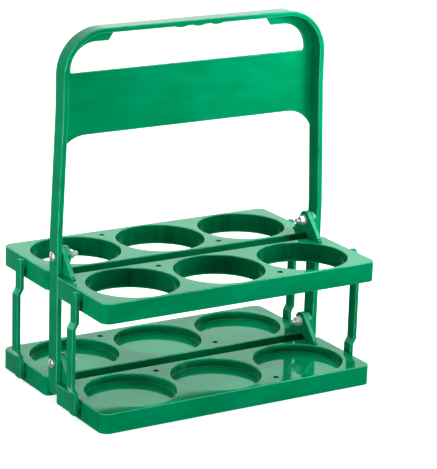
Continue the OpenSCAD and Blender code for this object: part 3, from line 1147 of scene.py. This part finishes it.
@dataclass
class Handle:
    """The handle: two legs and a grip in one strap, and the panel with its corner webs."""

    layout: Layout
    height: float = 365.0
    leg_end: float = 5.5
    lean: float = 5.0
    lean_z: tuple[float, float] = (165.0, 290.0)
    bar: float = 4.8
    corner_r: float = 44.0
    fillet: float = 1.2
    panel_thickness: float = 2.8
    panel_edge: float = 0.9
    panel_z: tuple[float, float] = (260.0, 321.0)
    panel_drop: float = 17.0
    arc_r: float = 32.0
    opening_half: float = 131.5
    opening_top: float = 349.7
    opening_r: float = 26.0
    grip_half: float = 84.0
    web_slant: float = 7.0
    crest_pitch: float = 20.0
    crest_width: float = 14.0
    crest_height: float = 1.3
    recess_r: float = 6.1
    recess_depth: float = 0.8
    bore_r: float = 2.58

    def leg_x(self, z: Array) -> Array:
        """Outer face of the right leg: it leans in evenly between two heights."""
        return self.layout.leg_outer - self.lean * np.clip(
            (z - self.lean_z[0]) / (self.lean_z[1] - self.lean_z[0]), 0, 1
        )

    def stations(self) -> tuple[Array, Array, Array, Array]:
        """Works out the strap from the right leg's foot over the grip to the left leg's foot.

        The foot is round seen from the side: b = R sin t at z = z0 + R (1 - cos t). The upper
        corner's outer and inner lines are arcs round two centres, since the bar is thinner than
        the leg. Under the grip each crest lowers the inner line by
        h (1 - (2 x / w)^2) within its width w.

        Returns:
            The outer line, the inner line, the half depths, and the shares of the thickness with
            the fillets.
        """
        lay, depth = self.layout, self.layout.frame_half
        turn = np.radians(np.linspace(9, 90, 16))
        foot_z = self.leg_end + depth * (1 - np.cos(turn))
        straight = np.array([18, 60, 110, 163, 165, 167, 226, 288, 290, 292, 306, 319], float)
        leg_z = np.concatenate([foot_z, straight])
        leg_b = np.concatenate([depth * np.sin(turn), np.full(len(straight), depth)])
        rise = leg_z - self.leg_end
        rounding = self.fillet - np.sqrt(self.fillet**2 - np.clip(self.fillet - rise, 0, self.fillet) ** 2)
        share = 1 - rounding / (lay.leg_thickness / 2)
        leg_o = np.stack([self.leg_x(leg_z), leg_z], axis=-1)
        leg_i = leg_o - [lay.leg_thickness, 0]
        top_x = lay.leg_outer - self.lean
        angle = np.radians(np.linspace(0, 90, 25))[:, None]
        ray = np.concatenate([np.cos(angle), np.sin(angle)], axis=1)
        arc_o = np.array([top_x - self.corner_r, self.height - self.corner_r]) + self.corner_r * ray
        inner_r = self.corner_r - lay.leg_thickness
        centre = [top_x - lay.leg_thickness - inner_r, self.height - self.bar - inner_r]
        arc_i = np.array(centre) + inner_r * ray
        outer, inner = np.concatenate([leg_o, arc_o]), np.concatenate([leg_i, arc_i])
        bar_x = np.concatenate([[100.0, 60.0, 40.0], np.linspace(32, 0, 81)])
        local = (bar_x + self.crest_pitch / 2) % self.crest_pitch - self.crest_pitch / 2
        crest = self.crest_height * np.clip(1 - (2 * local / self.crest_width) ** 2, 0, 1)
        crest[bar_x > self.crest_pitch + self.crest_width / 2] = 0
        bar_o = np.stack([bar_x, np.full_like(bar_x, self.height)], axis=-1)
        bar_i = np.stack([bar_x, self.height - self.bar - crest], axis=-1)
        outer, inner = np.concatenate([outer, bar_o]), np.concatenate([inner, bar_i])
        depths = np.concatenate([leg_b, np.full(len(outer) - len(leg_b), depth)])
        shares = np.concatenate([share, np.ones(len(outer) - len(share))])
        flip = [-1, 1]
        outer = np.concatenate([outer, outer[-2::-1] * flip])
        inner = np.concatenate([inner, inner[-2::-1] * flip])
        depths, shares = np.concatenate([depths, depths[-2::-1]]), np.concatenate([shares, shares[-2::-1]])
        return outer, inner, depths, np.stack([shares, np.full_like(shares, self.fillet)], axis=-1)

    def plate(self) -> Outline:
        """Draws the panel with the webs as one outline round the material, in X and Z.

        Its outer side runs 2.5 mm inside the strap. The panel's lower corners are arcs that end
        on the legs, where cos a = (R - drop) / R gives their angle from the upright.

        Returns:
            The outline.
        """
        sunk, drop_z = 2.5, self.panel_z[0] - self.panel_drop
        leg_in = float(self.leg_x(np.array(drop_z))) - self.layout.leg_thickness
        side = self.layout.leg_outer - self.lean - self.layout.leg_thickness
        angle = math.degrees(math.acos((self.arc_r - self.panel_drop) / self.arc_r))
        arc_x = leg_in - self.arc_r * math.sin(math.radians(angle))
        bar_z, r = self.height - self.bar, self.corner_r - self.layout.leg_thickness
        grip, slant, top, open_r = self.grip_half, self.web_slant, self.opening_top, self.opening_r
        arc_z, open_x = self.panel_z[0] - self.arc_r, self.opening_half - open_r
        return Outline.along(
            [
                Arc(-arc_x, arc_z, self.arc_r, 90 + angle, 90),
                Arc(arc_x, arc_z, self.arc_r, 90, 90 - angle),
                Corner(leg_in + sunk, drop_z, 1.3),
                Arc(side - r, bar_z - r, r + sunk, 0, 90),
                Corner(grip, bar_z + sunk, 1.3),
                Corner(grip, bar_z, 1.3),
                Corner(grip + slant, top, 1.5),
                Arc(open_x, top - open_r, open_r, 90, 0),
                Corner(self.opening_half, self.panel_z[1], 2.4),
                Corner(-self.opening_half, self.panel_z[1], 2.4),
                Arc(-open_x, top - open_r, open_r, 180, 90),
                Corner(-grip - slant, top, 1.5),
                Corner(-grip, bar_z, 1.3),
                Corner(-grip, bar_z + sunk, 1.3),
                Arc(r - side, bar_z - r, r + sunk, 90, 180),
                Corner(-leg_in - sunk, drop_z, 1.3),
            ],
            step=5,
        )

    def cutter(self, side: int, z: float) -> Shell:
        """Builds the stepped body that sinks a screw's recess and bore into a leg.

        Args:
            side: -1 for the left leg, 1 for the right leg.
            z: Height of the screw.

        Returns:
            The shell.
        """
        outer = self.layout.leg_outer
        seat, past = outer - self.recess_depth, outer + 2
        inner = outer - self.layout.leg_thickness - 2
        rows = [[inner, 0], [inner, self.bore_r], [seat, self.bore_r], [seat, self.recess_r]]
        rows += [[outer - 0.25, self.recess_r], [outer, self.recess_r + 0.25]]
        rows += [[past, self.recess_r + 0.25], [past, 0]]
        return Shell.lathe(np.array(rows) * [side, 1], 0.0, z, 64)

    def build(self, finish: bpy.types.Material) -> None:
        """Builds the handle and fits it to its node.

        Args:
            finish: The plastic.
        """
        strap = Shell()
        strap.strap(*self.stations())
        piece = strap.outward().build("handle_moulding", finish)
        cut = Shell()
        for z in (self.layout.pivot_z, self.layout.pivot_z + self.layout.upper_z):
            for side in (-1, 1):
                cut.merge(self.cutter(side, z))
        knife = cut.build("recess_cutter", finish)
        sink = piece.modifiers.new("recesses", "BOOLEAN")
        sink.operation, sink.solver, sink.object = "DIFFERENCE", "EXACT", knife
        evaluated = piece.evaluated_get(bpy.context.evaluated_depsgraph_get())
        cut_mesh = bpy.data.meshes.new_from_object(evaluated)
        piece.modifiers.clear()
        piece.data = cut_mesh
        bpy.data.objects.remove(knife)
        cut_mesh.set_sharp_from_angle(angle=SHARP_ANGLE)
        back = self.layout.frame_half
        panel = Shell()
        panel.slab(self.plate(), -back, self.panel_thickness - back, self.panel_edge, Plane.XZ)
        web = panel.outward().build("handle_panel", finish)
        fit(piece, "handle_frame", "handle")
        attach(web, "handle")


@dataclass
class Post:
    """A post that couples an upper tray to the lower one, with its shoulders, pins and lips."""

    layout: Layout
    inner_x: float = 156.0
    thickness: float = 4.0
    joggle: float = 3.5
    slopes: tuple[float, float, float, float] = (27.0, 33.0, 92.0, 98.0)
    half_width: float = 5.75
    end_z: float = 4.5
    end_r: float = 3.0
    fillet: float = 0.7
    pin_r: float = 3.0
    shoulder_r: float = 5.25
    lip_r: float = 3.6
    lip_x: tuple[float, float] = (146.5, 147.7)

    def shell(self) -> Shell:
        """Builds the right post of the front half.

        The top is round, b = R sin t at z = pin + R cos t. The lower corners have the radius c:
        b = R - c + sqrt(c^2 - (c - s)^2) at the height s over the end.

        Returns:
            The shell.
        """
        upper = self.layout.pin_rise + self.layout.upper_z
        low_s = self.end_r * (1 - np.cos(np.radians(np.linspace(0, 90, 9))))
        low_b = self.half_width - self.end_r + np.sqrt(self.end_r**2 - (self.end_r - low_s) ** 2)
        kinks = np.array([k + d for k in self.slopes for d in (-0.7, 0.0, 0.7)])
        turn = np.radians(np.linspace(90, 9, 16))
        z = np.concatenate([self.end_z + low_s, kinks, upper + self.half_width * np.cos(turn)])
        b = np.concatenate([low_b, np.full(len(kinks), self.half_width), self.half_width * np.sin(turn)])
        near = np.minimum(z - self.end_z, upper + self.half_width - z)
        gone = np.clip(self.fillet - near, 0, self.fillet)
        share = 1 - (self.fillet - np.sqrt(self.fillet**2 - gone**2)) / (self.thickness / 2)
        x = self.inner_x + np.interp(z, self.slopes, (0, self.joggle, self.joggle, 0))
        shell = Shell()
        outer, inner = np.stack([x + self.thickness, z], axis=-1), np.stack([x, z], axis=-1)
        thick = np.stack([share, np.full_like(share, self.fillet)], axis=-1)
        shell.strap(outer, inner, b, thick, self.layout.mid_y)
        shell.outward()
        shoulder_x = self.layout.tray_end + self.layout.side_gap
        x0, x1, r = shoulder_x, self.inner_x + self.thickness / 2, self.shoulder_r
        disc = [[x0, 0], [x0, r - 0.4], [x0 + 0.12, r - 0.12], [x0 + 0.4, r], [x1, r], [x1, 0]]
        a, c = self.lip_x
        pin = [[a, 0], [a, self.pin_r - 0.5], [a + 0.5, self.lip_r - 0.2], [a + 0.7, self.lip_r]]
        pin += [[c - 0.15, self.lip_r], [c, self.lip_r - 0.15], [c, self.pin_r], [x1, self.pin_r], [x1, 0]]
        for height in (self.layout.pin_rise, upper):
            for profile in (disc, pin):
                shell.merge(Shell.lathe(profile, self.layout.mid_y, height, 48))
        return shell

    def build(self, finish: bpy.types.Material) -> None:
        """Builds the four posts and fits them to their nodes.

        Args:
            finish: The plastic.
        """
        shell = self.shell()
        for half in Half:
            for side in Side:
                mirror = side if half is Half.FRONT else Side(-side.value)
                name = f"{half.label}_{side.label}_post"
                piece = shell.placed(half, mirror).build(name + "_moulding", finish)
                fit(piece, name, name)


@dataclass
class PivotFasteners:
    """The screws, washers and nuts that the trays turn on, drawn at the right leg."""

    layout: Layout
    seat_x: float = 150.5
    screw_r: float = 2.5
    screw_length: float = 25.0
    head_r: float = 4.8
    head_height: float = 3.7
    head_rim: float = 2.4
    slot_width: float = 1.2
    slot_length: float = 5.4
    slot_depth: float = 1.8
    thread_pitch: float = 0.8
    thread_depth: float = 0.32
    washer_x: tuple[float, float] = (134.9, 135.9)
    washer_r: float = 5.0
    nut_x: tuple[float, float] = (130.2, 134.9)
    nut_flat: float = 4.0
    bore_r: float = 2.56

    def screw(self) -> Shell:
        """Builds a pan-head screw with a cross recess and a rolled thread.

        The thread is r = R - d |2 frac(x / p - t / 2 pi) - 1|, fading in over the last turn. The
        head's face is x = seat + dome(r) - depth k(y, z), where the dome falls off as a circle
        and k is 1 in the cross and fades over its edges.

        Returns:
            The shell.
        """
        x0, r = self.seat_x - self.screw_length, self.screw_r
        rows = np.linspace(x0 + 0.4, self.seat_x - 0.2, 340)
        shank = np.stack([rows, np.full_like(rows, r)], axis=-1)
        profile = np.concatenate([[[x0, 0], [x0, r - 0.7]], shank, [[self.seat_x, r], [self.seat_x, 0]]])

        def thread(x: Array, size: Array, turn: Array) -> Array:
            """The radius of the thread at x and turn."""
            wave = np.abs(2 * np.mod(x / self.thread_pitch - turn / (2 * np.pi), 1) - 1)
            held = np.clip((self.seat_x - 4 - x) / self.thread_pitch, 0, 1) * (size == r)
            return size - self.thread_depth * wave * held

        shell = Shell.lathe(profile, count=28, radius=thread)
        dome, count, lip = self.head_height - self.head_rim, 112, 0.25
        dome_r = (self.head_r**2 + dome**2) / (2 * dome)
        radii = np.concatenate([np.linspace(0.06, 1, 46), [1]]) * self.head_r
        turn = np.arange(count) * (2 * np.pi / count)
        y, z = radii[:, None] * np.cos(turn), radii[:, None] * np.sin(turn)
        blur = 0.12

        def step(value: Array) -> Array:
            """A smooth step that is 1 below -blur and 0 above blur."""
            t = np.clip((blur - value) / (2 * blur), 0, 1)
            return t * t * (3 - 2 * t)

        half_w, half_l = self.slot_width / 2, self.slot_length / 2
        arm = [step(np.abs(p) - half_w) * step(np.abs(q) - half_l) for p, q in ((y, z), (z, y))]
        depth = self.slot_depth * np.maximum(*arm) * np.clip(1.25 - radii[:, None] / self.head_r, 0, 1)
        cap = self.head_height - dome_r + np.sqrt(dome_r**2 - radii[:, None] ** 2) - depth
        cap[-2] = self.head_rim
        x = self.seat_x + np.concatenate([cap[:-1], np.full((1, count), lip), np.zeros((1, count))])
        y, z = (np.concatenate([p, p[-1:] * 0.96]) for p in (y, z))
        head = Shell()
        numbers = head.add(np.stack([x, y, z], axis=-1))
        head.skin(numbers)
        head.fan(numbers[0], np.array([x[0].mean(), 0, 0]), last=False)
        head.fan(numbers[-1], np.array([self.seat_x, 0, 0]), last=True)
        shell.merge(head.outward())
        return shell

    def washer(self) -> Shell:
        """Builds a washer with slightly broken edges."""
        (a, b), r, hole, c = self.washer_x, self.washer_r, self.screw_r + 0.15, 0.15
        rows = [[a, hole], [a, r - c], [a + c, r], [b - c, r], [b, r - c], [b, hole]]
        return Shell.lathe(rows, count=64)

    def nut(self) -> Shell:
        """Builds a hexagon nut.

        Its outside is r = min(f / cos(t mod 60 - 30), cone(x)), where f is half the width over
        the flats and the cones cut its corners round at both ends.

        Returns:
            The shell.
        """
        (a, b), f = self.nut_x, self.nut_flat
        steps = np.array([0, 0.1, 0.2, 0.3, 0.4, 0.55])
        x = np.concatenate([a + steps, b - steps[::-1]])
        cone = f + 0.05 + 1.6 * np.minimum(x - a, b - x)
        outside = np.stack([x, cone], axis=-1)
        rows = [[a + 0.4, self.bore_r], [a, self.bore_r + 0.4]]
        profile = np.concatenate([rows, outside, [[b, self.bore_r + 0.4], [b - 0.4, self.bore_r]]])

        def hexagon(_x: Array, size: Array, turn: Array) -> Array:
            """The smaller of the cone and the hexagon at an angle."""
            return np.minimum(size, f / np.cos(np.mod(turn, np.pi / 3) - np.pi / 6))

        return Shell.lathe(profile, count=96, radius=hexagon)

    def build(self, finish: bpy.types.Material) -> None:
        """Builds the twelve fasteners and fits them to their nodes.

        Args:
            finish: The plated steel.
        """
        levels = {"lower": self.layout.pivot_z, "upper": self.layout.pivot_z + self.layout.upper_z}
        for kind, shell in (("screw", self.screw()), ("washer", self.washer()), ("nut", self.nut())):
            for level, z in levels.items():
                for side in Side:
                    name = f"{level}_{side.label}_{kind}"
                    piece = shell.placed(Half.FRONT, side, z).build(name + "_zinc", finish)
                    fit(piece, name, "handle")


@dataclass(frozen=True)
class Softbox:
    """A soft area light: its place and aim in metres, its size and its power."""

    name: str
    place: tuple[float, float, float]
    aim: tuple[float, float, float]
    size: tuple[float, float]
    power: float

    def build(self) -> None:
        """Adds the light to the scene."""
        lamp = bpy.data.lights.new(self.name, "AREA")
        lamp.shape, lamp.size, lamp.size_y, lamp.energy = "RECTANGLE", *self.size, self.power
        light = bpy.data.objects.new(self.name, lamp)
        bpy.context.scene.collection.objects.link(light)
        light.location = self.place
        light.visible_camera = False
        light.rotation_euler = (Vector(self.aim) - Vector(self.place)).to_track_quat("-Z", "Y").to_euler()


@dataclass(frozen=True)
class Studio:
    """The floor, the light and the camera at the photographed angle."""

    yaw: float = 0.556582
    pitch: float = 0.292616
    roll: float = 0.031293
    focal_px: float = 2292.341
    camera_mm: tuple[float, float, float] = (-1121.723, -1857.085, 802.006)
    floor_half: float = 6000.0
    floor_z: float = -0.2
    room_level: float = 0.02
    screen_level: float = 1.7
    tone: float = 0.78
    lights: tuple[Softbox, ...] = (
        Softbox("top", (0.05, 0.05, 3.0), (0.05, 0.06, 0.1), (0.7, 0.7), 25),
        Softbox("front_low", (-0.3, -2.5, 0.085), (0, 0, 0.1), (2.2, 0.13), 41),
        Softbox("left_low", (-2.0, -1.5, 0.22), (0, 0, 0.15), (0.9, 0.25), 2),
        Softbox("near_left", (-0.55, -0.04, 0.2), (-0.15, 0, 0.16), (0.35, 0.4), 1.5),
        Softbox("left", (-2.4, 0.3, 0.6), (0, 0, 0.15), (1.0, 0.8), 4),
        Softbox("right", (2.0, -1.2, 0.5), (0, 0, 0.2), (0.8, 0.8), 14),
        Softbox("near_right", (0.3, -0.24, 0.4), (0.12, 0, 0.29), (0.15, 0.15), 1.1),
    )

    def floor(self) -> None:
        """Adds the floor, which isn't part of the object and throws no light back onto it."""
        shell, x, z = Shell(), self.floor_half, self.floor_z
        corners = [[-x, -x, z], [x, -x, z], [x, x, z], [-x, x, z]]
        shell.quads.append(shell.add(np.array(corners))[None])
        ground = shell.build("studio_floor", PaleFloor().material())
        ground.visible_diffuse = ground.visible_glossy = False

    def world(self) -> None:
        """Surrounds the scene with a dim room, a bright screen behind it and a white background.

        The level is room + (screen - room) s(d . b), where d is the direction, b points to the
        screen and s rises smoothly; the background that the camera sees directly is white.
        """
        world = bpy.data.worlds.new("pale_room")
        bpy.context.scene.world = world
        g = Graph(world)
        toward = (math.sin(self.yaw), math.cos(self.yaw), 0.25)
        direction = g.node("ShaderNodeTexCoord", {}, {}, "Generated")
        values = {0: direction, 1: toward}
        facing = g.node("ShaderNodeVectorMath", {"operation": "DOT_PRODUCT"}, values, "Value")
        room = self.room_level + (self.screen_level - self.room_level) * facing.ramp(0.25, 0.95)
        seen = g.node("ShaderNodeLightPath", {}, {}, "Is Camera Ray")
        level = room + seen * (1.0 - room)
        sky = g.node("ShaderNodeBackground", {}, {"Color": (1, 1, 1, 1), "Strength": level})
        g.node("ShaderNodeOutputWorld", {}, {"Surface": sky})

    def camera(self) -> None:
        """Places the camera: it looks along (sin a cos b, cos a cos b, -sin b), rolled by c."""
        a, b, c = self.yaw, self.pitch, self.roll
        ahead = Vector((math.sin(a) * math.cos(b), math.cos(a) * math.cos(b), -math.sin(b)))
        level = Vector((math.cos(a), -math.sin(a), 0))
        up = level.cross(ahead)
        right = level * math.cos(c) + up * math.sin(c)
        above = up * math.cos(c) - level * math.sin(c)
        data = bpy.data.cameras.new("photo_camera")
        data.sensor_width, data.lens = SENSOR_MM, self.focal_px * SENSOR_MM / PHOTO_LONG_SIDE
        data.clip_start, data.clip_end = 0.1, 50
        camera = bpy.data.objects.new("photo_camera", data)
        bpy.context.scene.collection.objects.link(camera)
        turn = Matrix((right, above, -ahead)).transposed().to_4x4()
        camera.matrix_world = Matrix.Translation(Vector(self.camera_mm) * MM) @ turn
        bpy.context.scene.camera = camera

    def build(self) -> None:
        """Sets up the studio."""
        self.floor()
        self.world()
        for light in self.lights:
            light.build()
        self.camera()
        settings = bpy.context.scene.view_settings
        settings.view_transform, settings.look = "Standard", "None"
        settings.exposure, settings.gamma = 0.0, self.tone


def main() -> None:
    """Builds the carrier's pieces in order, then the studio."""
    logging.basicConfig(level=logging.INFO, format="%(name)s: %(message)s")
    layout = Layout()
    plastic, zinc = GlossyPlastic().material(), BrightZinc().material()
    # The upper trays' plastic paints shade in streaks on the walls of their bottle places.
    drawn = GlossyPlastic("drawn_green_plastic", drawn=True).material()
    Handle(layout).build(GlossyPlastic("frame_green_plastic", across="Y").material())
    for half in Half:
        for cups in (False, True):
            Tray(layout, cups).build(half, plastic if cups else drawn)
    Post(layout).build(GlossyPlastic("post_green_plastic", across="X").material())
    PivotFasteners(layout).build(zinc)
    Studio().build()


if __name__ == "__main__":
    main()
